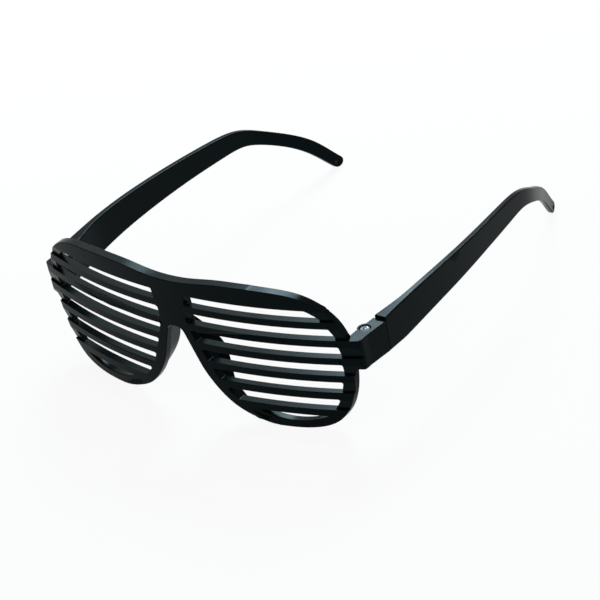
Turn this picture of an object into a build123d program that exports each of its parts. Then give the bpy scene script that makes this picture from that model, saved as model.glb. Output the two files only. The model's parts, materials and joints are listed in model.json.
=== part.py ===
from build123d import *
from math import asin, atan2, cos, degrees, hypot, radians, sin, sqrt, tan
import os

os.makedirs("parts", exist_ok=True)

# Slatted novelty glasses, standing open on a table on their lens rims and the tips of their arms.
# +X is to the right of somebody looking at the front, +Y runs back along the arms, +Z is up.
# The glasses are drawn on a datum whose slats are level. On the table the arms' tips sit lower than
# the rims, so the datum is tilted back a little. The origin is on the table, under the middle.

# Front: driving sizes, in millimetres and degrees
bridge_width = 13.0
lens_width = 61.8
lens_height = 51.8
brow_height = 7.3
bridge_height = 20.2
arch_radius = 3.0
base_curve_radius = 192.4
front_lean = 3.47
plate_depth = 3.0
brow_depth = 4.0
bridge_depth = 4.8

# Slats, and the gaps between them
gap_count = 7
slat_height = 3.1
slat_relief = 0.8
gap_corner_radius = 0.5
bottom_gap_height = 2.9

# Nose wings behind the inner rims
wing_thickness = 1.5
wing_flare = 7.0
wing_depth = 11.7
wing_height = 42.0
wing_rise = 7.1

# End blocks that carry the hinges
endpiece_reach = 4.0
endpiece_height = 12.6
endpiece_depth = 7.0
endpiece_corner_radius = 2.4
block_length = 16.3
block_spread = 1.0
block_width = 5.3

# Hinges
axis_inset = 4.3
axis_setback = 6.7
lug_height = 3.3
lug_radius = 2.9
tongue_radius = 2.5
hinge_clearance = 0.3
joint_gap = 0.2
pin_clearance = 0.05

# Hinge screws
shank_radius = 1.0
head_radius = 1.8
head_height = 1.3
head_dome = 0.5
recess_radius = 2.3
recess_depth = 1.0
cross_width = 0.55
cross_length = 2.2
cross_depth = 0.7
screw_end_inset = 0.5

# Arms
temple_length = 139.5
temple_drop = 38.35
temple_bow = 24.0
temple_thickness = 2.4
temple_step = 2.1
tip_radius = 2.35
tip_slope = 47.0
tip_hole_radius = 0.8
temple_edge_radius = 0.5

# Every cutting shape runs past what it cuts by this much
overrun = 5.0

# Outline of the right-hand half of the front. Across, shares of the lens width from the nose edge.
# Up, shares of the lens height from its lowest point, or of the brow height from the brow's underside.
arch_corner_share = 0.46
rim_outline_shares = [
    (0.021, 0.440),
    (0.096, 0.268),
    (0.228, 0.106),
    (0.380, 0.025),
    (0.542, 0.000),
    (0.704, 0.013),
    (0.843, 0.073),
    (0.930, 0.195),
    (0.984, 0.386),
    (1.000, 0.575),
    (0.989, 0.759),
    (0.935, 0.930),
]
brow_outline_shares = [
    (0.817, 0.438),
    (0.607, 0.918),
    (0.470, 0.985),
    (0.332, 1.000),
]
brow_dip_shares = (0.55, 0.45)
brow_middle_share = 0.726

# Ends of the six upper gaps, as shares of the lens width: nose end top and bottom, outer end top and bottom
gap_end_shares = [
    (0.015, 0.008, 0.790, 0.874),
    (-0.003, -0.006, 0.903, 0.929),
    (0.006, 0.032, 0.937, 0.940),
    (0.053, 0.086, 0.939, 0.934),
    (0.107, 0.141, 0.921, 0.901),
    (0.173, 0.241, 0.885, 0.841),
]
bottom_gap_shares = (0.372, 0.574, 0.793)
last_slat_share = 0.118

# Side view of a nose wing: shares of its depth behind the front, and of its height below its top
wing_side_shares = [
    (0.13, 0.000),
    (0.36, 0.060),
    (0.56, 0.143),
    (0.79, 0.274),
    (0.93, 0.369),
    (0.99, 0.440),
    (0.96, 0.524),
    (0.87, 0.595),
    (0.72, 0.667),
    (0.57, 0.738),
    (0.50, 0.833),
    (0.37, 0.929),
    (0.13, 1.000),
]
wing_lift_share = 0.8

# Plan of an arm: shares of its length, of its inward bow, and of its thickness
temple_plan_shares = [
    (0.000, 0.000, 2.05),
    (0.045, -0.006, 1.62),
    (0.090, -0.010, 1.24),
    (0.160, -0.012, 1.05),
    (0.370, 0.029, 1.00),
    (0.540, 0.123, 1.00),
    (0.668, 0.219, 1.00),
    (0.740, 0.296, 1.00),
    (0.844, 0.517, 1.00),
    (0.915, 0.702, 1.00),
    (1.030, 0.950, 1.00),
]

# Side view of an arm: shares of its length, and of its drop below its highest line
temple_top_shares = [
    (0.000, 0.023),
    (0.110, 0.000),
    (0.360, 0.010),
    (0.590, 0.050),
    (0.705, 0.115),
    (0.790, 0.268),
    (0.922, 0.594),
]
temple_bottom_shares = [
    (0.904, 0.717),
    (0.769, 0.391),
    (0.711, 0.310),
    (0.632, 0.289),
    (0.480, 0.295),
    (0.325, 0.316),
    (0.180, 0.347),
    (0.075, 0.381),
    (0.000, 0.383),
]

# Sizes that follow from these
rim_heights = [up for _, up in rim_outline_shares]
lowest_point = rim_heights.index(min(rim_heights))
nose_x = bridge_width / 2
lens_outer_x = nose_x + lens_width
front_top = lens_height + brow_height
last_gap_top = lens_height * last_slat_share
gap_pitch = (lens_height - last_gap_top) / (gap_count - 1)
gap_height = gap_pitch - slat_height
endpiece_top = lens_height - gap_pitch - gap_height
endpiece_bottom = endpiece_top - endpiece_height
endpiece_x = lens_outer_x + endpiece_reach
joint_x = endpiece_x + block_spread
front_sweep = degrees(asin((joint_x + overrun) / base_curve_radius))
brow_middle_z = lens_height + brow_height * brow_middle_share
arch_top = brow_middle_z - bridge_height


def front_y(x, z):
    """Where the front surface lies behind the datum, at one place seen from the front."""
    sagitta = base_curve_radius - sqrt(base_curve_radius**2 - x**2)
    return (lens_height - z) * tan(radians(front_lean)) + sagitta / cos(radians(front_lean))


def lens_x(share):
    """Distance from the middle of a place given as a share of the lens width."""
    return nose_x + lens_width * share


joint_y = front_y(lens_outer_x, endpiece_top) + block_length
axis_x = joint_x - axis_inset
axis_y = joint_y - axis_setback

# The arm starts just behind the joint, and its tip and the rear edge of the rim both touch the table
temple_start_y = joint_y + joint_gap
temple_crest = endpiece_top + temple_step
tip_y = temple_start_y + temple_length - tip_radius
tip_z = temple_crest - temple_drop + tip_radius
rim_foot_y = front_y(lens_x(rim_outline_shares[lowest_point][0]), 0) + plate_depth
rest_tilt = atan2(tip_z, tip_y - rim_foot_y) - asin(tip_radius / hypot(tip_z, tip_y - rim_foot_y))
plan_foot = tip_z - tip_radius - overrun
front_edge_y = front_y(0, brow_middle_z) + brow_middle_z * sin(rest_tilt)
back_edge_y = tip_y + tip_radius + tip_z * sin(rest_tilt)

# The datum and the planes that sketches are drawn on
datum = (0, -(front_edge_y + back_edge_y) / 2, rim_foot_y * sin(rest_tilt))
back_direction = (0, cos(rest_tilt), -sin(rest_tilt))
up_direction = (0, sin(rest_tilt), cos(rest_tilt))
level_plane = Plane(origin=datum, x_dir=(1, 0, 0), z_dir=up_direction)
front_plane = Plane(
    origin=level_plane.from_local_coords((0, -overrun, 0)),
    x_dir=(1, 0, 0),
    z_dir=-level_plane.y_dir,
)
side_plane = Plane(origin=datum, x_dir=back_direction, z_dir=(1, 0, 0))
lean_tilt = rest_tilt - radians(front_lean)
lean_plane = Plane(
    origin=level_plane.from_local_coords((0, 0, lens_height)),
    x_dir=(1, 0, 0),
    z_dir=(0, sin(lean_tilt), cos(lean_tilt)),
)


def curved_sheet(middle_depth, edge_depth):
    """The right half of the curved, leaning sheet behind the front surface, with its depth at both ends."""
    edge_x = joint_x + overrun
    half_depth = middle_depth + (edge_depth - middle_depth) / 4

    def sheet_y(x, depth):
        return base_curve_radius - sqrt((base_curve_radius - depth) ** 2 - x**2)

    with BuildPart() as sheet:
        with BuildSketch(lean_plane.offset(-lens_height - overrun)):
            with BuildLine():
                near = ThreePointArc(
                    (0, 0),
                    (edge_x / 2, sheet_y(edge_x / 2, 0)),
                    (edge_x, sheet_y(edge_x, 0)),
                )
                far = ThreePointArc(
                    (0, middle_depth),
                    (edge_x / 2, sheet_y(edge_x / 2, half_depth)),
                    (edge_x, sheet_y(edge_x, edge_depth)),
                )
                Line(near @ 0, far @ 0)
                Line(near @ 1, far @ 1)
            make_face()
        extrude(amount=front_top + 2 * overrun)
    return sheet.part


def front_outline():
    """The right half of the front, seen square on: rim, brow and half of the bridge arch."""
    arch_corner = (nose_x * arch_corner_share, arch_top)
    rim_points = [(lens_x(across), lens_height * up) for across, up in rim_outline_shares]
    brow_points = [(lens_x(across), lens_height + brow_height * up) for across, up in brow_outline_shares]
    dip_heights = (front_top, brow_middle_z)
    with BuildSketch(front_plane) as outline:
        with BuildLine():
            Line((0, brow_middle_z), (0, arch_top))
            nose_side = FilletPolyline((0, arch_top), arch_corner, rim_points[0], radius=arch_radius)
            Spline(*rim_points[: lowest_point + 1], tangents=[nose_side % 1, (1, 0)])
            rim = Spline(*rim_points[lowest_point:], *brow_points, tangents=[(1, 0), (-1, 0)])
            dip_places = [brow_points[-1][0] * share for share in brow_dip_shares]
            Bezier(rim @ 1, *zip(dip_places, dip_heights), (0, brow_middle_z))
        make_face()
    return outline.sketch


def gap_faces():
    """The seven gaps of the right lens, seen square on."""
    radius = min(gap_corner_radius, gap_height / 3)
    with BuildSketch(front_plane) as gaps:
        for index, (nose_top, nose_bottom, outer_top, outer_bottom) in enumerate(gap_end_shares):
            top = lens_height - index * gap_pitch
            bottom = top - gap_height
            with BuildLine():
                Polyline(
                    (lens_x(nose_top), top),
                    (lens_x(nose_bottom), bottom),
                    (lens_x(outer_bottom), bottom),
                    (lens_x(outer_top), top),
                    close=True,
                )
            make_face()
        fillet(gaps.vertices(), radius)
        start, middle, end = [lens_x(share) for share in bottom_gap_shares]
        lowest = (middle, last_gap_top - bottom_gap_height)
        with BuildLine():
            ThreePointArc((start, last_gap_top), lowest, (end, last_gap_top))
            Line((start, last_gap_top), (end, last_gap_top))
        make_face()
    return gaps.sketch


def deeper_part(depth, foot, top, width):
    """A deeper piece of the front between two heights, which thins to the rim's depth at the outer side."""
    outline = front_outline()
    edge_share = (joint_x + overrun) / lens_outer_x
    sheet = curved_sheet(depth, depth - (depth - plate_depth) * edge_share**2)
    with BuildPart() as piece:
        add(sheet)
        extrude(outline, amount=-joint_x, mode=Mode.INTERSECT)
        with BuildSketch(level_plane.offset(foot)):
            Rectangle(width * 2, joint_x * 2)
        extrude(amount=top - foot, mode=Mode.INTERSECT)
    return piece.part


def slatted_plate():
    """The rim, bridge, brow and slats of the right half. The brow and the bridge are deeper than the rim."""
    outline = front_outline()
    gaps = gap_faces()
    rim_sheet = curved_sheet(plate_depth, plate_depth)
    brow = deeper_part(brow_depth, lens_height, front_top + overrun, joint_x)
    bridge = deeper_part(bridge_depth, arch_top, lens_height, nose_x)
    with BuildPart() as body:
        add(rim_sheet)
        extrude(outline, amount=-joint_x, mode=Mode.INTERSECT)
        add(brow)
        add(bridge)
        extrude(gaps, amount=-joint_x, mode=Mode.SUBTRACT)
    return body.part


def nose_wing():
    """The curved wing behind the inner rim, flaring outwards as it goes back."""
    outline = front_plane.to_local_coords(front_outline())
    wing_top = arch_top + wing_rise
    wing_foot = wing_top - wing_height
    side_foot = (lens_x(rim_outline_shares[0][0]), lens_height * rim_outline_shares[0][1])
    side_slope = (side_foot[0] - nose_x * arch_corner_share) / (arch_top - side_foot[1])
    side_head = (side_foot[0] - side_slope * (wing_top - side_foot[1]), wing_top)
    wing_lift = wing_thickness * wing_lift_share
    wall = wing_thickness + wing_lift * side_slope
    flare = radians(wing_flare)
    flare_direction = level_plane.x_dir * sin(flare) + level_plane.y_dir * cos(flare)
    strip_limit = lens_x(rim_outline_shares[lowest_point][0])
    rear_points = []
    for back, down in wing_side_shares:
        height = wing_top - wing_height * down
        rear_points.append((front_y(nose_x, height) + wing_depth * back, height))
    with BuildSketch(front_plane) as strip:
        add(outline)
        add(outline.moved(Location((wing_thickness, wing_lift, 0))), mode=Mode.SUBTRACT)
        with BuildLine():
            Polyline(
                (0, side_foot[1]),
                (strip_limit, side_foot[1]),
                (strip_limit, wing_foot),
                (0, wing_foot),
                close=True,
            )
        make_face(mode=Mode.INTERSECT)
        with BuildLine():
            Polyline(
                side_head,
                side_foot,
                (side_foot[0] + wall, side_foot[1]),
                (side_head[0] + wall, wing_top),
                close=True,
            )
        make_face()
    with BuildPart() as wing:
        extrude(strip.sketch, amount=wing_depth * 2, dir=flare_direction)
        with BuildSketch(side_plane):
            with BuildLine():
                rear = Spline(*rear_points)
                Line(rear @ 1, rear @ 0)
            make_face()
        extrude(amount=joint_x, mode=Mode.INTERSECT)
    return wing.part


def rim_ledge(index):
    """A wedge that steps the outer rim beside one gap, flush at the gap's top and deepest at its foot."""
    ledge_plane = Plane(origin=lean_plane.origin, x_dir=lean_plane.y_dir, z_dir=(1, 0, 0))
    curve_axis = Axis(lean_plane.from_local_coords((0, base_curve_radius, 0)), lean_plane.z_dir)
    slope = slat_relief / gap_height
    top = lens_height - index * gap_pitch
    height = (top - lens_height) * cos(radians(front_lean))
    height -= front_y(lens_outer_x, top) * sin(radians(front_lean))
    inner_x = lens_x(min(gap_end_shares[index][2:])) - gap_corner_radius
    with BuildPart() as wedge:
        with BuildSketch(ledge_plane):
            with BuildLine():
                Polyline(
                    (0, height),
                    (slope * gap_pitch, height - gap_pitch),
                    (-overrun, height - gap_pitch),
                    (-overrun, height),
                    close=True,
                )
            make_face()
        revolve(axis=curve_axis, revolution_arc=front_sweep)
        with BuildSketch(front_plane):
            with BuildLine():
                Polyline(
                    (inner_x, top),
                    (joint_x + overrun, top),
                    (joint_x + overrun, top - gap_height),
                    (inner_x, top - gap_height),
                    close=True,
                )
            make_face()
        extrude(amount=-joint_x, mode=Mode.INTERSECT)
    return wedge.part


def endpiece_corner():
    """The outer front corner of the end block, which carries on the curve of the front."""
    inner_x = lens_x(gap_end_shares[-1][2])
    corner_sheet = curved_sheet(endpiece_depth, endpiece_depth)
    with BuildPart() as corner:
        add(corner_sheet)
        with BuildSketch(front_plane):
            with BuildLine():
                Polyline(
                    (inner_x, endpiece_top),
                    (endpiece_x, endpiece_top),
                    (endpiece_x, endpiece_bottom),
                    (inner_x, endpiece_bottom),
                    close=True,
                )
            make_face()
        extrude(amount=-joint_x, mode=Mode.INTERSECT)
        with BuildSketch(level_plane.offset(endpiece_bottom)):
            with BuildLine():
                Polyline(
                    (joint_x - block_width - block_spread, 0),
                    (endpiece_x, 0),
                    (endpiece_x, axis_y),
                    (joint_x - block_width - block_spread, axis_y),
                    close=True,
                )
            make_face()
        extrude(amount=endpiece_height, mode=Mode.INTERSECT)
        fillet(corner.edges().group_by(Axis.X)[-1].sort_by(Axis.Y)[0], endpiece_corner_radius)
    return corner.part


def hinge_block():
    """The upright block behind the corner, rounded about the hinge screw."""
    with BuildPart() as block:
        with BuildSketch(level_plane.offset(endpiece_bottom)):
            with BuildLine():
                Polyline(
                    (endpiece_x - block_width, front_y(endpiece_x, endpiece_top) + plate_depth / 2),
                    (endpiece_x, front_y(endpiece_x, endpiece_top) + endpiece_corner_radius * 2),
                    (joint_x, joint_y),
                    (joint_x - block_width, joint_y),
                    close=True,
                )
            make_face()
            with Locations((axis_x, axis_y)):
                Circle(lug_radius)
        extrude(amount=endpiece_height)
    return block.part


def tongue_slot():
    """The space between the two lugs, open to the rear and to the inner side, where the tongue turns."""
    reach = tongue_radius + hinge_clearance
    with BuildPart() as slot:
        with BuildSketch(level_plane.offset(endpiece_bottom + lug_height)):
            with BuildLine():
                Polyline(
                    (axis_x, axis_y - reach),
                    (axis_x - reach - overrun, axis_y - reach),
                    (axis_x - reach - overrun, joint_y + overrun),
                    (axis_x + reach, joint_y + overrun),
                    (axis_x + reach, axis_y),
                    (axis_x, axis_y),
                    close=True,
                )
            make_face()
            with Locations((axis_x, axis_y)):
                Circle(reach)
        extrude(amount=endpiece_height - 2 * lug_height)
    return slot.part


# The front, one moulding: the right half is built, then mirrored onto the left
right_plate = slatted_plate()
right_wing = nose_wing()
right_corner = endpiece_corner()
right_ledges = [rim_ledge(index) for index in range(len(gap_end_shares))]
right_block = hinge_block()
right_slot = tongue_slot()

with BuildPart() as front_frame:
    add(right_plate)
    add(right_wing)
    add(right_corner)
    add(right_ledges, mode=Mode.SUBTRACT)
    add(right_block)
    add(right_slot, mode=Mode.SUBTRACT)
    with BuildSketch(level_plane.offset(endpiece_bottom)):
        with Locations((axis_x, axis_y)):
            Circle(shank_radius + pin_clearance)
    extrude(amount=endpiece_height, mode=Mode.SUBTRACT)
    with BuildSketch(level_plane.offset(endpiece_top - recess_depth)):
        with Locations((axis_x, axis_y)):
            Circle(recess_radius)
    extrude(amount=recess_depth + overrun, mode=Mode.SUBTRACT)
    mirror(about=Plane.YZ)

front_frame.part.label = "front_frame"
export_step(front_frame.part, "parts/front_frame.step")


def temple_section():
    """Side view of an arm: level, then bent down behind the ear, with a round tip."""
    slope = radians(tip_slope)
    across = (tip_radius * sin(slope), tip_radius * cos(slope))
    along = (tip_radius * cos(slope), -tip_radius * sin(slope))
    tip_direction = (cos(slope), -sin(slope))

    start_rise = temple_drop * temple_top_shares[0][1] / (temple_length * temple_top_shares[1][0])

    def side_point(shares):
        return (temple_start_y + temple_length * shares[0], temple_crest - temple_drop * shares[1])

    with BuildSketch(side_plane) as section:
        with BuildLine():
            upper = Spline(
                *[side_point(shares) for shares in temple_top_shares],
                (tip_y + across[0], tip_z + across[1]),
                tangents=[(1, start_rise), tip_direction],
            )
            lower = Spline(
                (tip_y - across[0], tip_z - across[1]),
                *[side_point(shares) for shares in temple_bottom_shares],
                tangents=[(-tip_direction[0], -tip_direction[1]), (-1, 0)],
            )
            ThreePointArc(upper @ 1, (tip_y + along[0], tip_z + along[1]), lower @ 0)
            Line(lower @ 1, upper @ 0)
        make_face()
    return section.sketch


def temple_plan():
    """Plan of an arm: thick at the joint, then thin and bowing inwards to the tip."""
    outer_points = []
    inner_points = []
    for along, bow, thick in temple_plan_shares:
        outer_x = joint_x - temple_bow * bow
        outer_points.append((outer_x, temple_start_y + temple_length * along))
        inner_points.append((outer_x - temple_thickness * thick, temple_start_y + temple_length * along))
    with BuildSketch(level_plane.offset(plan_foot)) as plan:
        with BuildLine():
            outer = Spline(*outer_points)
            inner = Spline(*inner_points)
            Line(outer @ 0, inner @ 0)
            Line(outer @ 1, inner @ 1)
        make_face()
    return plan.sketch


def tip_hole_plane():
    """The outer side of the arm at its tip, where the hole for a neck cord is drilled square to it."""
    (near_along, near_bow, _), (far_along, far_bow, _) = temple_plan_shares[-2:]
    slant = temple_bow * (far_bow - near_bow) / (temple_length * (far_along - near_along))
    near_y = temple_start_y + temple_length * near_along
    tip_x = joint_x - temple_bow * near_bow - slant * (tip_y - near_y)
    tip_side = level_plane.from_local_coords((tip_x, tip_y, tip_z))
    return Plane(origin=tip_side, x_dir=up_direction, z_dir=level_plane.x_dir + level_plane.y_dir * slant)


# The right arm, with the tongue that turns between the lugs and the cord hole in its tip
right_plan = temple_plan()
right_section = temple_section()

with BuildPart() as temple_right:
    extrude(right_plan, amount=temple_crest + overrun - plan_foot)
    extrude(right_section, amount=joint_x + overrun, mode=Mode.INTERSECT)
    fillet([edge for edge in temple_right.edges() if edge.length > temple_length / 2], temple_edge_radius)
    with BuildSketch(tip_hole_plane()):
        Circle(tip_hole_radius)
    extrude(amount=overrun, both=True, mode=Mode.SUBTRACT)
    with BuildSketch(level_plane.offset(endpiece_bottom + lug_height + hinge_clearance)):
        with BuildLine():
            Polyline(
                (axis_x + tongue_radius, axis_y),
                (axis_x + tongue_radius, temple_start_y + tongue_radius),
                (joint_x - temple_thickness * temple_plan_shares[0][2], temple_start_y),
                (axis_x - tongue_radius, axis_y),
                close=True,
            )
        make_face()
        with Locations((axis_x, axis_y)):
            Circle(tongue_radius)
    extrude(amount=endpiece_height - 2 * lug_height - 2 * hinge_clearance)
    with BuildSketch(level_plane.offset(endpiece_bottom)):
        with Locations((axis_x, axis_y)):
            Circle(shank_radius + pin_clearance)
    extrude(amount=endpiece_height, mode=Mode.SUBTRACT)

temple_right.part.label = "temple_right"
export_step(temple_right.part, "parts/temple_right.step")

with BuildPart() as temple_left:
    mirror(temple_right.part, about=Plane.YZ)

temple_left.part.label = "temple_left"
export_step(temple_left.part, "parts/temple_left.step")


# The screw that pins the right hinge: a domed head with a cross recess, on a plain shank
with BuildPart() as hinge_screw_right:
    head_seat = endpiece_top - recess_depth
    with BuildSketch(level_plane.offset(endpiece_bottom + screw_end_inset)):
        with Locations((axis_x, axis_y)):
            Circle(shank_radius)
    extrude(amount=head_seat - endpiece_bottom - screw_end_inset)
    with BuildSketch(level_plane.offset(head_seat)):
        with Locations((axis_x, axis_y)):
            Circle(head_radius)
    extrude(amount=head_height)
    fillet(hinge_screw_right.edges().group_by(Axis.Z)[-1], head_dome)
    with BuildSketch(level_plane.offset(head_seat + head_height - cross_depth)):
        with Locations((axis_x, axis_y)):
            Rectangle(cross_width, cross_length)
            Rectangle(cross_length, cross_width)
    extrude(amount=cross_depth + overrun, mode=Mode.SUBTRACT)

hinge_screw_right.part.label = "hinge_screw_right"
export_step(hinge_screw_right.part, "parts/hinge_screw_right.step")

with BuildPart() as hinge_screw_left:
    mirror(hinge_screw_right.part, about=Plane.YZ)

hinge_screw_left.part.label = "hinge_screw_left"
export_step(hinge_screw_left.part, "parts/hinge_screw_left.step")
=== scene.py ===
"""Looks for the slatted novelty glasses: moulded black plastic, two steel hinge screws, a pale studio.

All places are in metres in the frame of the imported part: +X to the right of somebody who looks at the
front, +Y back along the arms, +Z up from the table.
"""

from __future__ import annotations

import json
import logging
import math
from dataclasses import dataclass, field
from enum import Enum
from itertools import combinations
from typing import Any

import bmesh
import bpy
from mathutils import Matrix, Vector
from mathutils.bvhtree import BVHTree
from mathutils.geometry import barycentric_transform
from mathutils.kdtree import KDTree

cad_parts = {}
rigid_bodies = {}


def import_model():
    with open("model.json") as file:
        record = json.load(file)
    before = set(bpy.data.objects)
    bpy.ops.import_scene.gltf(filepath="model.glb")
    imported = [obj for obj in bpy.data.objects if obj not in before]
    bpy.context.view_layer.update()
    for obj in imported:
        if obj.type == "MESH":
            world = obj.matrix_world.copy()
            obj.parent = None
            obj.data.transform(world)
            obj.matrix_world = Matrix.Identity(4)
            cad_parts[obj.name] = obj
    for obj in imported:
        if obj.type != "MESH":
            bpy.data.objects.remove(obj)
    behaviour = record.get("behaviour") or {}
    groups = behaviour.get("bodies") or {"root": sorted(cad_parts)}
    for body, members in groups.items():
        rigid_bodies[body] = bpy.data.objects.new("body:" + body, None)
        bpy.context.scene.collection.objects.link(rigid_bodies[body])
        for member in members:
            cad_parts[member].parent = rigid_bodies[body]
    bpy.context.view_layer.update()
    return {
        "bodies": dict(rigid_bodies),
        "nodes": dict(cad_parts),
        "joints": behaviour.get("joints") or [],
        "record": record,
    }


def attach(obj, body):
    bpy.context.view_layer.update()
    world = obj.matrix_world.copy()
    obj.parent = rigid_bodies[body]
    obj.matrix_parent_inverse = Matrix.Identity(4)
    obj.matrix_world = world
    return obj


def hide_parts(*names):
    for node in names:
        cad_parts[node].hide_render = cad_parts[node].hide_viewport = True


LOG = logging.getLogger("glasses")
MM = 0.001
WHITE = "#FFFFFF"

# Most values of a noise texture lie between these two
NOISE_LOW = 0.3
NOISE_HIGH = 0.7

# The material place that tells the rounded faces apart until they are shaded
ROUNDED_PLACE = 1


class Side(Enum):
    """The side of the glasses, as somebody sees it who looks at the front."""

    LEFT = -1
    RIGHT = 1

    @property
    def word(self) -> str:
        """The side's name as the solids use it."""
        return self.name.lower()


class Slot(Enum):
    """The record's material slots."""

    PLASTIC = "moulded_plastic"
    STEEL = "screw_steel"


def linear(hex_colour: str) -> tuple[float, float, float, float]:
    """Turns an sRGB hex colour into the linear colour that shaders take.

    Args:
        hex_colour: Six hex digits after a hash sign.

    Returns:
        Red, green, blue and an alpha of 1, linear.
    """
    shares = [int(hex_colour[i : i + 2], 16) / 255 for i in (1, 3, 5)]
    red, green, blue = [s / 12.92 if s <= 0.04045 else ((s + 0.055) / 1.055) ** 2.4 for s in shares]
    return (red, green, blue, 1.0)


def add_node(
    tree: bpy.types.NodeTree,
    kind: str,
    settings: dict[str, Any] | None = None,
    values: dict[str | int, Any] | None = None,
    links: dict[str | int, bpy.types.NodeSocket] | None = None,
) -> bpy.types.Node:
    """Adds one node to a tree.

    Args:
        tree: The node tree.
        kind: The node's Blender type.
        settings: The node's own properties.
        values: Fixed values for its input sockets, by name or number.
        links: Sockets that feed its input sockets, by name or number.

    Returns:
        The new node.
    """
    node = tree.nodes.new(kind)
    for name, value in (settings or {}).items():
        setattr(node, name, value)
    for key, value in (values or {}).items():
        node.inputs[key].default_value = value
    for key, socket in (links or {}).items():
        tree.links.new(socket, node.inputs[key])
    return node


def empty_material(name: str) -> bpy.types.Material:
    """Makes a material with no nodes.

    Args:
        name: The material's name.

    Returns:
        The new material.
    """
    material = bpy.data.materials.new(name)
    material.use_nodes = True
    material.node_tree.nodes.clear()
    return material


def link_object(name: str, data: bpy.types.ID | None) -> bpy.types.Object:
    """Makes an object and puts it in the scene.

    Args:
        name: The object's name.
        data: Its mesh, light or camera.

    Returns:
        The new object.
    """
    made = bpy.data.objects.new(name, data)
    bpy.context.scene.collection.objects.link(made)
    return made


def seen_directly(tree: bpy.types.NodeTree) -> bpy.types.NodeSocket:
    """Adds a test that is 1 for rays from the camera, and for reflected and refracted ones.

    Args:
        tree: The node tree.

    Returns:
        The socket that holds the test.
    """
    path = add_node(tree, "ShaderNodeLightPath")
    either = add_node(
        tree,
        "ShaderNodeMath",
        {"operation": "MAXIMUM"},
        links={0: path.outputs["Is Camera Ray"], 1: path.outputs["Is Glossy Ray"]},
    )
    seen = add_node(
        tree,
        "ShaderNodeMath",
        {"operation": "MAXIMUM"},
        links={0: either.outputs[0], 1: path.outputs["Is Transmission Ray"]},
    )
    return seen.outputs[0]


def uneven_roughness(
    tree: bpy.types.NodeTree, place: bpy.types.NodeSocket, patch_mm: float, middle: float, spread: float
) -> bpy.types.NodeSocket:
    """Adds a roughness that drifts a little from patch to patch.

    Args:
        tree: The node tree.
        place: The socket that holds the place on the object.
        patch_mm: The size of a patch.
        middle: The roughness that it drifts about.
        spread: How far it drifts to either side.

    Returns:
        The socket that holds the roughness.
    """
    patches = add_node(
        tree,
        "ShaderNodeTexNoise",
        values={"Scale": 1 / (patch_mm * MM), "Detail": 2.0},
        links={"Vector": place},
    )
    drift = add_node(
        tree,
        "ShaderNodeMapRange",
        values={
            "From Min": NOISE_LOW,
            "From Max": NOISE_HIGH,
            "To Min": middle - spread,
            "To Max": middle + spread,
        },
        links={"Value": patches.outputs["Fac"]},
    )
    return drift.outputs["Result"]


@dataclass(frozen=True)
class MouldedAbs:
    """Injection-moulded black ABS from a polished mould.

    The polish gives clear but slightly soft reflections. Sink and flow in the thin walls leave a slow
    waviness, which makes the long highlights swell and thin out a little. The low specular level keeps
    the flanks nearly black in a white room, so that only the lamps show on the upper faces.
    """

    colour: str = "#050A0B"
    reflection: str = "#BFE6F2"
    ior: float = 1.5
    specular_level: float = 0.034
    roughness: float = 0.2
    roughness_spread: float = 0.03
    cloudiness_mm: float = 9.0
    waviness_mm: float = 16.0
    waviness_height_mm: float = 0.012

    def build(self) -> bpy.types.Material:
        """Makes the plastic.

        Returns:
            The material.
        """
        material = empty_material("moulded_abs_black")
        tree = material.node_tree
        place = add_node(tree, "ShaderNodeTexCoord").outputs["Object"]
        sheen = uneven_roughness(tree, place, self.cloudiness_mm, self.roughness, self.roughness_spread)
        wave = add_node(
            tree,
            "ShaderNodeTexNoise",
            values={"Scale": 1 / (self.waviness_mm * MM), "Detail": 0.0},
            links={"Vector": place},
        )
        bump = add_node(
            tree,
            "ShaderNodeBump",
            values={"Strength": 1.0, "Distance": self.waviness_height_mm * MM},
            links={"Height": wave.outputs["Fac"]},
        )
        shader = add_node(
            tree,
            "ShaderNodeBsdfPrincipled",
            values={
                "Base Color": linear(self.colour),
                "IOR": self.ior,
                "Specular IOR Level": self.specular_level,
                "Specular Tint": linear(self.reflection),
            },
            links={"Roughness": sheen, "Normal": bump.outputs["Normal"]},
        )
        add_node(tree, "ShaderNodeOutputMaterial", links={"Surface": shader.outputs["BSDF"]})
        return material


@dataclass(frozen=True)
class NickelPlatedSteel:
    """Nickel-plated steel screw, cold headed and barrel plated.

    Tumbling leaves the metal bright but finely dulled, so that its highlights are short and soft.
    """

    colour: str = "#7C8184"
    roughness: float = 0.24
    roughness_spread: float = 0.08
    grain_mm: float = 0.35

    def build(self) -> bpy.types.Material:
        """Makes the plated steel.

        Returns:
            The material.
        """
        material = empty_material("nickel_plated_steel")
        tree = material.node_tree
        place = add_node(tree, "ShaderNodeTexCoord").outputs["Object"]
        dulling = uneven_roughness(tree, place, self.grain_mm, self.roughness, self.roughness_spread)
        shader = add_node(
            tree,
            "ShaderNodeBsdfPrincipled",
            values={"Base Color": linear(self.colour), "Metallic": 1.0},
            links={"Roughness": dulling},
        )
        add_node(tree, "ShaderNodeOutputMaterial", links={"Surface": shader.outputs["BSDF"]})
        return material


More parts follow.
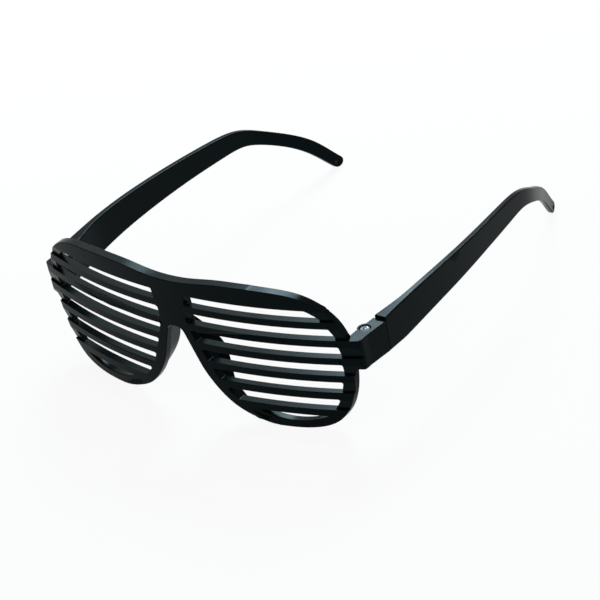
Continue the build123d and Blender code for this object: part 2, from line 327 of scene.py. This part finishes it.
@dataclass(frozen=True)
class PalePaper:
    """Matt white studio paper, rolled out under the glasses. It gives no gloss, only soft shadow."""

    colour: str = "#FAFAFA"
    lift: float = 0.9

    def build(self) -> bpy.types.Material:
        """Makes the paper. What looks at it sees it lifted to white, and still sees shadows on it.

        Returns:
            The material.
        """
        material = empty_material("studio_paper_white")
        tree = material.node_tree
        paper = add_node(
            tree, "ShaderNodeBsdfDiffuse", values={"Color": linear(self.colour), "Roughness": 1.0}
        )
        white = add_node(tree, "ShaderNodeEmission", values={"Color": linear(WHITE), "Strength": 1.0})
        lifted = add_node(
            tree,
            "ShaderNodeMath",
            {"operation": "MULTIPLY"},
            values={1: self.lift},
            links={0: seen_directly(tree)},
        )
        mixed = add_node(
            tree,
            "ShaderNodeMixShader",
            links={0: lifted.outputs[0], 1: paper.outputs[0], 2: white.outputs[0]},
        )
        add_node(tree, "ShaderNodeOutputMaterial", links={"Surface": mixed.outputs[0]})
        return material


class SolidSurface:
    """The surface of a solid, which can be asked which way it faces at a place."""

    reach_mm: float = 0.05

    def __init__(self, mesh: bpy.types.Mesh) -> None:
        """Reads a solid's triangles.

        Args:
            mesh: The solid's mesh, with the normals of its true surfaces.
        """
        mesh.calc_loop_triangles()
        self.places = [vertex.co.copy() for vertex in mesh.vertices]
        self.triangles = [tuple(triangle.vertices) for triangle in mesh.loop_triangles]
        self.normals = [
            [mesh.corner_normals[corner].vector.copy() for corner in triangle.loops]
            for triangle in mesh.loop_triangles
        ]
        self.tree = BVHTree.FromPolygons(self.places, self.triangles)

    def facing_at(self, place: Vector, rough: Vector) -> Vector:
        """Which way the surface faces near a place, on the side that a rough direction points to.

        Args:
            place: The place.
            rough: The rough direction.

        Returns:
            The direction of the true surface, or the rough one where nothing lies near.
        """
        hits = self.tree.find_nearest_range(place, self.reach_mm * MM)
        if not hits:
            return rough.copy()
        hit, _, index, _ = max(hits, key=lambda found: found[1].dot(rough))
        corners = [self.places[vertex] for vertex in self.triangles[index]]
        return barycentric_transform(hit, *corners, *self.normals[index]).normalized()

    def distance_to(self, place: Vector) -> float:
        """How far a place lies from the surface, in metres."""
        return self.tree.find_nearest(place)[3]


@dataclass
class MouldedPiece:
    """One black moulding: a copy of its solid, with the fine rounding that a mould gives its edges.

    An edge stays sharp where its rounding would leave the solid by more than the stray share of the
    radius. The crowd share of the radius is how far around such a place edges count as part of it.
    """

    node: str
    body: str
    piece: str
    edge_radius_mm: float = 0.3
    edge_angle_deg: float = 32.0
    edge_segments: int = 3
    stray_share: float = 0.62
    crowd_share: float = 1.2
    weld_mm: float = 0.002
    flat_angle_deg: float = 0.05

    def copy_solid(self, solid: bpy.types.Object) -> bpy.types.Mesh:
        """Copies the solid's mesh, welds its loose triangles and makes its flat places one face each.

        Args:
            solid: The solid's object.

        Returns:
            The copy.
        """
        mesh = solid.data.copy()
        work = bmesh.new()
        work.from_mesh(mesh)
        bmesh.ops.remove_doubles(work, verts=work.verts, dist=self.weld_mm * MM)
        bmesh.ops.dissolve_limit(
            work, angle_limit=math.radians(self.flat_angle_deg), verts=work.verts, edges=work.edges
        )
        work.to_mesh(mesh)
        work.free()
        return mesh

    def sharp_edges(self, mesh: bpy.types.Mesh) -> set[int]:
        """Finds the edges that a mould would round.

        Args:
            mesh: The copy of the solid.

        Returns:
            The numbers of the sharp edges.
        """
        work = bmesh.new()
        work.from_mesh(mesh)
        limit = math.radians(self.edge_angle_deg)
        sharp = {edge.index for edge in work.edges if edge.calc_face_angle(0.0) > limit}
        work.free()
        return sharp

    def rounded(self, mesh: bpy.types.Mesh, chosen: set[int]) -> bpy.types.Mesh:
        """Rounds the chosen edges. The faces that this makes take a material place of their own.

        Args:
            mesh: The copy of the solid.
            chosen: The numbers of its edges to round.

        Returns:
            A new mesh.
        """
        weights = mesh.attributes.get("bevel_weight_edge")
        if weights is None:
            weights = mesh.attributes.new("bevel_weight_edge", "FLOAT", "EDGE")
        weights.data.foreach_set("value", [float(index in chosen) for index in range(len(mesh.edges))])
        blank = link_object(f"{self.piece}_blank", mesh)
        bevel = blank.modifiers.new("mould_rounding", "BEVEL")
        bevel.width = self.edge_radius_mm * MM
        bevel.segments = self.edge_segments
        bevel.limit_method = "WEIGHT"
        bevel.use_clamp_overlap = False
        bevel.miter_outer = "MITER_ARC"
        bevel.material = ROUNDED_PLACE
        depsgraph = bpy.context.evaluated_depsgraph_get()
        made = bpy.data.meshes.new_from_object(blank.evaluated_get(depsgraph))
        bpy.data.objects.remove(blank)
        return made

    def crowded_edges(self, mesh: bpy.types.Mesh, made: bpy.types.Mesh, surface: SolidSurface) -> set[int]:
        """Finds the edges whose rounding, or a face beside it, shoots out of the solid for lack of room.

        Args:
            mesh: The copy of the solid.
            made: The rounded mesh.
            surface: The solid's surface.

        Returns:
            The numbers of the copy's edges that lie there.
        """
        limit = self.edge_radius_mm * MM * self.stray_share
        stray = {vertex.index for vertex in made.vertices if surface.distance_to(vertex.co) > limit}
        made.calc_loop_triangles()
        for triangle in made.loop_triangles:
            sides = combinations([made.vertices[index].co for index in triangle.vertices], 2)
            if any(surface.distance_to((start + end) / 2) > limit for start, end in sides):
                stray.update(made.polygons[triangle.polygon_index].vertices)
        near = {v for face in made.polygons if not stray.isdisjoint(face.vertices) for v in face.vertices}
        corners = KDTree(len(mesh.vertices))
        for vertex in mesh.vertices:
            corners.insert(vertex.co, vertex.index)
        corners.balance()
        reach = self.edge_radius_mm * MM * self.crowd_share
        crowded = {found[1] for v in near for found in corners.find_range(made.vertices[v].co, reach)}
        return {edge.index for edge in mesh.edges if not crowded.isdisjoint(edge.vertices)}

    def round_edges(self, mesh: bpy.types.Mesh, surface: SolidSurface) -> bpy.types.Mesh:
        """Rounds the sharp edges that have room for it. The others stay sharp.

        Args:
            mesh: The copy of the solid, which is used up.
            surface: The solid's surface.

        Returns:
            The rounded mesh.
        """
        chosen = self.sharp_edges(mesh)
        made = self.rounded(mesh, chosen)
        crowded = self.crowded_edges(mesh, made, surface) & chosen
        while crowded:
            LOG.info("%s: %d of %d sharp edges are crowded", self.piece, len(crowded), len(chosen))
            bpy.data.meshes.remove(made)
            chosen -= crowded
            made = self.rounded(mesh, chosen)
            crowded = self.crowded_edges(mesh, made, surface) & chosen
        bpy.data.meshes.remove(mesh)
        made.name = self.piece
        return made

    def smooth_faces(self, mesh: bpy.types.Mesh, surface: SolidSurface) -> None:
        """Shades each face as the solid's own surface, and turns the shading across the rounded edges.

        Args:
            mesh: The rounded mesh.
            surface: The solid's surface.
        """
        mesh.shade_smooth()
        normals = [Vector() for _ in mesh.loops]
        beside: dict[int, list[Vector]] = {}
        across: dict[int, Vector] = {}
        for face in mesh.polygons:
            for corner, vertex in zip(face.loop_indices, face.vertices):
                if face.material_index == ROUNDED_PLACE:
                    across[vertex] = across.get(vertex, Vector()) + face.normal
                else:
                    normals[corner] = surface.facing_at(mesh.vertices[vertex].co, face.normal)
                    beside.setdefault(vertex, []).append(normals[corner])
        for face in mesh.polygons:
            if face.material_index == ROUNDED_PLACE:
                for corner, vertex in zip(face.loop_indices, face.vertices):
                    nearby = beside.get(vertex, [across[vertex].normalized()])
                    normals[corner] = max(nearby, key=face.normal.dot)
        mesh.normals_split_custom_set(normals)

    def build(self, frame: dict[str, Any], plastic: bpy.types.Material) -> bpy.types.Object:
        """Builds and dresses the piece, and puts it in place of its solid.

        Args:
            plastic: The finish.

        Returns:
            The piece.
        """
        solid = frame["nodes"][self.node]
        blank = self.copy_solid(solid)
        blank.materials.clear()
        for _ in range(ROUNDED_PLACE + 1):
            blank.materials.append(plastic)
        surface = SolidSurface(solid.data)
        mesh = self.round_edges(blank, surface)
        self.smooth_faces(mesh, surface)
        mesh.polygons.foreach_set("material_index", [0] * len(mesh.polygons))
        mesh.materials.pop(index=ROUNDED_PLACE)
        made = link_object(self.piece, mesh)
        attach(made, self.body)
        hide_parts(self.node)
        return made


@dataclass
class FrontMoulding(MouldedPiece):
    """The front: rims, slats, bridge, nose wings and hinge blocks in one moulding."""

    node: str = "front_frame"
    body: str = "front"
    piece: str = "slatted_front"


@dataclass
class ArmMoulding(MouldedPiece):
    """One arm, with its hinge tongue and the cord hole in its tip."""

    @classmethod
    def on(cls, side: Side) -> ArmMoulding:
        """The arm of one side."""
        return cls(f"temple_{side.word}", f"arm_{side.word}", f"arm_moulding_{side.word}")


@dataclass
class HingeScrew:
    """One hinge screw: a low domed head with a cross recess, on a plain shank."""

    side: Side
    hinge_mm: tuple[float, float, float] = (69.0, -61.558, 33.089)
    axis: tuple[float, float, float] = (0.0, 0.021837, 0.999762)
    seat_mm: float = 5.3
    head_radius_mm: float = 1.8
    head_height_mm: float = 1.3
    dome_mm: float = 0.55
    shank_radius_mm: float = 1.0
    shank_length_mm: float = 11.1
    cross_width_mm: float = 0.6
    cross_length_mm: float = 2.3
    cross_depth_mm: float = 0.9
    cross_bars: int = 2
    edge_radius_mm: float = 0.1
    edge_angle_deg: float = 35.0
    edge_segments: int = 2
    head_sides: int = 48
    shank_sides: int = 32
    ball_segments: int = 96
    ball_rings: int = 64

    def inputs(self) -> dict[str, Any]:
        """The values of the tree's named inputs, in metres and radians."""
        centre = Vector(self.hinge_mm) + Vector(self.axis) * self.seat_mm
        rise = self.dome_mm
        ball = (self.head_radius_mm**2 + rise**2) / (2 * rise)
        return {
            "Place": Vector((centre.x * self.side.value, centre.y, centre.z)) * MM,
            "Tilt": Vector((-math.asin(self.axis[1]), 0.0, 0.0)),
            "Head Radius": self.head_radius_mm * MM,
            "Head Height": self.head_height_mm * MM,
            "Dome Ball Radius": ball * MM,
            "Shank Radius": self.shank_radius_mm * MM,
            "Shank Length": self.shank_length_mm * MM,
            "Cross Width": self.cross_width_mm * MM,
            "Cross Length": self.cross_length_mm * MM,
            "Cross Depth": self.cross_depth_mm * MM,
        }

    @staticmethod
    def declare(tree: bpy.types.GeometryNodeTree) -> None:
        """Gives the tree its named inputs and its output.

        Args:
            tree: The empty tree.
        """
        face = tree.interface
        face.new_socket(name="Geometry", in_out="INPUT", socket_type="NodeSocketGeometry")
        face.new_socket(name="Place", in_out="INPUT", socket_type="NodeSocketVector")
        face.new_socket(name="Tilt", in_out="INPUT", socket_type="NodeSocketVector")
        for name in (
            "Head Radius",
            "Head Height",
            "Dome Ball Radius",
            "Shank Radius",
            "Shank Length",
            "Cross Width",
            "Cross Length",
            "Cross Depth",
        ):
            face.new_socket(name=name, in_out="INPUT", socket_type="NodeSocketFloat")
        face.new_socket(name="Geometry", in_out="OUTPUT", socket_type="NodeSocketGeometry")

    @staticmethod
    def raised(
        tree: bpy.types.NodeTree, shape: bpy.types.NodeSocket, height: bpy.types.NodeSocket
    ) -> bpy.types.NodeSocket:
        """Moves a shape up the screw's axis.

        Args:
            tree: The tree.
            shape: The socket that holds the shape.
            height: The socket that holds the height.

        Returns:
            The socket that holds the moved shape.
        """
        move = add_node(tree, "ShaderNodeCombineXYZ", links={"Z": height})
        moved = add_node(
            tree, "GeometryNodeTransform", links={"Geometry": shape, "Translation": move.outputs[0]}
        )
        return moved.outputs[0]

    @classmethod
    def head(cls, tree: bpy.types.NodeTree, sizes: bpy.types.NodeOutputs) -> bpy.types.NodeSocket:
        """Adds the domed head, which is what a cylinder and a large ball have in common.

        Args:
            tree: The tree.
            sizes: The sockets of the named inputs.

        Returns:
            The socket that holds the head.
        """
        cylinder = add_node(
            tree,
            "GeometryNodeMeshCylinder",
            values={"Vertices": cls.head_sides},
            links={"Radius": sizes["Head Radius"], "Depth": sizes["Head Height"]},
        )
        half_height = add_node(
            tree, "ShaderNodeMath", {"operation": "MULTIPLY"}, {1: 0.5}, {0: sizes["Head Height"]}
        )
        body = cls.raised(tree, cylinder.outputs["Mesh"], half_height.outputs[0])
        ball = add_node(
            tree,
            "GeometryNodeMeshUVSphere",
            values={"Segments": cls.ball_segments, "Rings": cls.ball_rings},
            links={"Radius": sizes["Dome Ball Radius"]},
        )
        ball_height = add_node(
            tree,
            "ShaderNodeMath",
            {"operation": "SUBTRACT"},
            links={0: sizes["Head Height"], 1: sizes["Dome Ball Radius"]},
        )
        dome = add_node(
            tree,
            "GeometryNodeMeshBoolean",
            {"operation": "INTERSECT", "solver": "EXACT"},
            links={"Mesh": cls.raised(tree, ball.outputs["Mesh"], ball_height.outputs[0])},
        )
        tree.links.new(body, dome.inputs["Mesh"])
        return dome.outputs["Mesh"]

    @classmethod
    def cross(cls, tree: bpy.types.NodeTree, sizes: bpy.types.NodeOutputs) -> bpy.types.NodeSocket:
        """Adds what the cross recess takes away: one bar, repeated a quarter turn on.

        The bars lie about the head's top, so that the lower half of their height cuts into it.

        Args:
            tree: The tree.
            sizes: The sockets of the named inputs.

        Returns:
            The socket that holds the bars.
        """
        bars = add_node(tree, "GeometryNodeMeshLine", values={"Count": cls.cross_bars, "Offset": Vector()})
        bar_height = add_node(
            tree, "ShaderNodeMath", {"operation": "MULTIPLY"}, {1: 2.0}, {0: sizes["Cross Depth"]}
        )
        bar_size = add_node(
            tree,
            "ShaderNodeCombineXYZ",
            links={"X": sizes["Cross Length"], "Y": sizes["Cross Width"], "Z": bar_height.outputs[0]},
        )
        bar = add_node(tree, "GeometryNodeMeshCube", links={"Size": bar_size.outputs[0]})
        index = add_node(tree, "GeometryNodeInputIndex")
        turn = add_node(
            tree,
            "ShaderNodeMath",
            {"operation": "MULTIPLY"},
            values={1: math.pi / cls.cross_bars},
            links={0: index.outputs[0]},
        )
        turn_about = add_node(tree, "ShaderNodeCombineXYZ", links={"Z": turn.outputs[0]})
        rotation = add_node(tree, "FunctionNodeEulerToRotation", links={0: turn_about.outputs[0]})
        repeated = add_node(
            tree,
            "GeometryNodeInstanceOnPoints",
            links={
                "Points": bars.outputs["Mesh"],
                "Instance": bar.outputs["Mesh"],
                "Rotation": rotation.outputs[0],
            },
        )
        real = add_node(tree, "GeometryNodeRealizeInstances", links={0: repeated.outputs[0]})
        return cls.raised(tree, real.outputs[0], sizes["Head Height"])

    @classmethod
    def shank(cls, tree: bpy.types.NodeTree, sizes: bpy.types.NodeOutputs) -> bpy.types.NodeSocket:
        """Adds the plain shank below the head.

        Args:
            tree: The tree.
            sizes: The sockets of the named inputs.

        Returns:
            The socket that holds the shank.
        """
        cylinder = add_node(
            tree,
            "GeometryNodeMeshCylinder",
            values={"Vertices": cls.shank_sides},
            links={"Radius": sizes["Shank Radius"], "Depth": sizes["Shank Length"]},
        )
        half_length = add_node(
            tree, "ShaderNodeMath", {"operation": "MULTIPLY"}, {1: -0.5}, {0: sizes["Shank Length"]}
        )
        return cls.raised(tree, cylinder.outputs["Mesh"], half_length.outputs[0])

    @classmethod
    def tree(cls, steel: bpy.types.Material) -> bpy.types.GeometryNodeTree:
        """Builds the tree that makes a screw.

        Args:
            steel: The finish that the tree sets.

        Returns:
            The tree.
        """
        tree = bpy.data.node_groups.new("cross_recess_screw", "GeometryNodeTree")
        tree.is_modifier = True
        cls.declare(tree)
        sizes = add_node(tree, "NodeGroupInput").outputs
        head = cls.head(tree, sizes)
        recessed = add_node(
            tree,
            "GeometryNodeMeshBoolean",
            {"operation": "DIFFERENCE", "solver": "EXACT"},
            values={"Self Intersection": True},
            links={"Mesh 1": head, "Mesh 2": cls.cross(tree, sizes)},
        )
        joined = add_node(tree, "GeometryNodeJoinGeometry", links={0: recessed.outputs["Mesh"]})
        tree.links.new(cls.shank(tree, sizes), joined.inputs[0])
        placed = add_node(
            tree,
            "GeometryNodeTransform",
            links={"Geometry": joined.outputs[0], "Translation": sizes["Place"], "Rotation": sizes["Tilt"]},
        )
        real = add_node(tree, "GeometryNodeRealizeInstances", links={0: placed.outputs[0]})
        dressed = add_node(
            tree, "GeometryNodeSetMaterial", values={"Material": steel}, links={"Geometry": real.outputs[0]}
        )
        add_node(tree, "NodeGroupOutput", links={0: dressed.outputs[0]})
        return tree

    def build(self, tree: bpy.types.GeometryNodeTree) -> bpy.types.Object:
        """Builds the screw and puts it in place of its solid.

        Args:
            tree: The tree that makes a screw.

        Returns:
            The piece.
        """
        name = f"cross_recess_screw_{self.side.word}"
        maker = link_object(f"{name}_maker", bpy.data.meshes.new(f"{name}_maker"))
        modifier = maker.modifiers.new("screw", "NODES")
        modifier.node_group = tree
        sockets = {s.name: s.identifier for s in tree.interface.items_tree if s.in_out == "INPUT"}
        for socket, value in self.inputs().items():
            modifier[sockets[socket]] = value
        evaluated = maker.evaluated_get(bpy.context.evaluated_depsgraph_get())
        mesh = bpy.data.meshes.new_from_object(evaluated)
        bpy.data.objects.remove(maker)
        mesh.validate()
        mesh.name = name
        made = link_object(name, mesh)
        made.data.shade_smooth()
        bevel = made.modifiers.new("tumbled_edges", "BEVEL")
        bevel.width = self.edge_radius_mm * MM
        bevel.segments = self.edge_segments
        bevel.limit_method = "ANGLE"
        bevel.angle_limit = math.radians(self.edge_angle_deg)
        bevel.harden_normals = True
        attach(made, "front")
        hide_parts(f"hinge_screw_{self.side.word}")
        return made


def direction(azimuth_deg: float, elevation_deg: float) -> Vector:
    """Which way a place lies from the glasses.

    Args:
        azimuth_deg: The turn about the upright, from straight ahead of the front towards +X.
        elevation_deg: The height over the horizon.

    Returns:
        A direction of length 1.
    """
    azimuth, elevation = math.radians(azimuth_deg), math.radians(elevation_deg)
    return Vector(
        (
            math.sin(azimuth) * math.cos(elevation),
            -math.cos(azimuth) * math.cos(elevation),
            math.sin(elevation),
        )
    )


@dataclass
class Softbox:
    """One soft lamp, aimed at the glasses, with its place seen from them and the cool tint of its light."""

    name: str
    azimuth_deg: float
    elevation_deg: float
    distance_m: float
    width_m: float
    height_m: float
    radiance: float
    colour: str = "#CDE7F0"

    def build(self, target: Vector) -> bpy.types.Object:
        """Hangs the lamp.

        Args:
            target: What it is aimed at.

        Returns:
            The lamp.
        """
        back = direction(self.azimuth_deg, self.elevation_deg)
        lamp = bpy.data.lights.new(self.name, "AREA")
        lamp.shape = "RECTANGLE"
        lamp.size = self.width_m
        lamp.size_y = self.height_m
        lamp.energy = self.radiance * math.pi * self.width_m * self.height_m
        lamp.color = linear(self.colour)[:3]
        made = link_object(self.name, lamp)
        made.location = target + back * self.distance_m
        made.rotation_mode = "QUATERNION"
        made.rotation_quaternion = (-back).to_track_quat("-Z", "Y")
        return made


@dataclass
class Studio:
    """The white paper, the soft light and the camera.

    The camera's azimuth, elevation and roll count from the glasses with their slats level. The rest
    tilt then leans the view as the glasses lean when they stand on their rims and arm tips.
    """

    paper: PalePaper = field(default_factory=PalePaper)
    paper_side_m: float = 6.0
    paper_drop_mm: float = 0.02
    camera_mm: tuple[float, float, float] = (671.35, -769.54, 627.02)
    camera_azimuth_deg: float = 41.14
    camera_elevation_deg: float = 30.64
    camera_roll_deg: float = -10.19
    rest_tilt_deg: float = 1.25127
    lens_mm: float = 188.898
    sensor_mm: float = 36.0
    nearest_m: float = 0.05
    farthest_m: float = 50.0
    lamp_aim_mm: tuple[float, float, float] = (0.0, 0.0, 30.0)
    ambient: float = 0.5
    softboxes: tuple[Softbox, ...] = (
        Softbox("softbox_back", 205.7, 43.4, 0.9, 0.37, 0.335, 32.0),
        Softbox("softbox_wide", 224.0, 40.0, 1.3, 1.3, 0.75, 1.6),
    )

    def lay_paper(self) -> bpy.types.Object:
        """Lays the paper under the glasses.

        Returns:
            The paper.
        """
        half = self.paper_side_m / 2
        low = -self.paper_drop_mm * MM
        corners = [(-half, -half, low), (half, -half, low), (half, half, low), (-half, half, low)]
        mesh = bpy.data.meshes.new("studio_paper")
        mesh.from_pydata(corners, [], [(0, 1, 2, 3)])
        mesh.materials.append(self.paper.build())
        made = link_object("studio_paper", mesh)
        return made

    def fill_air(self) -> None:
        """Gives the world a soft grey light, and shows it as white to whatever looks straight at it."""
        world = bpy.data.worlds.new("studio_air")
        bpy.context.scene.world = world
        world.use_nodes = True
        tree = world.node_tree
        tree.nodes.clear()
        seen = seen_directly(tree)
        soft = add_node(
            tree, "ShaderNodeBackground", values={"Color": linear(WHITE), "Strength": self.ambient}
        )
        white = add_node(tree, "ShaderNodeBackground", values={"Color": linear(WHITE), "Strength": 1.0})
        mixed = add_node(
            tree, "ShaderNodeMixShader", links={0: seen, 1: soft.outputs[0], 2: white.outputs[0]}
        )
        add_node(tree, "ShaderNodeOutputWorld", links={"Surface": mixed.outputs[0]})

    def set_camera(self) -> bpy.types.Object:
        """Sets the camera at the photograph's angle.

        Returns:
            The camera.
        """
        azimuth = math.radians(self.camera_azimuth_deg)
        roll = math.radians(self.camera_roll_deg)
        tilt = Matrix.Rotation(-math.radians(self.rest_tilt_deg), 3, "X")
        back = direction(self.camera_azimuth_deg, self.camera_elevation_deg)
        level = Vector((math.cos(azimuth), math.sin(azimuth), 0.0))
        upright = back.cross(level)
        right = tilt @ (math.cos(roll) * level + math.sin(roll) * upright)
        up = tilt @ (-math.sin(roll) * level + math.cos(roll) * upright)
        away = tilt @ back
        data = bpy.data.cameras.new("photo_camera")
        data.lens = self.lens_mm
        data.sensor_width = self.sensor_mm
        data.clip_start = self.nearest_m
        data.clip_end = self.farthest_m
        made = link_object("photo_camera", data)
        turn = Matrix((right, up, away)).transposed()
        made.matrix_world = Matrix.Translation(Vector(self.camera_mm) * MM) @ turn.to_4x4()
        bpy.context.scene.camera = made
        return made

    def build(self) -> None:
        """Builds the studio."""
        self.lay_paper()
        self.fill_air()
        for softbox in self.softboxes:
            softbox.build(Vector(self.lamp_aim_mm) * MM)
        self.set_camera()
        bpy.context.scene.view_settings.view_transform = "Standard"


def main() -> None:
    """Loads the solids, dresses each piece and sets the studio."""
    logging.basicConfig(level=logging.INFO, format="%(name)s: %(message)s")
    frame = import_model()
    plastic = MouldedAbs().build()
    steel = NickelPlatedSteel().build()
    LOG.info("front: %s", FrontMoulding().build(frame, plastic).name)
    for side in Side:
        LOG.info("arm: %s", ArmMoulding.on(side).build(frame, plastic).name)
    screw_tree = HingeScrew.tree(steel)
    for side in Side:
        LOG.info("screw: %s", HingeScrew(side).build(screw_tree).name)
    Studio().build()


if __name__ == "__main__":
    main()
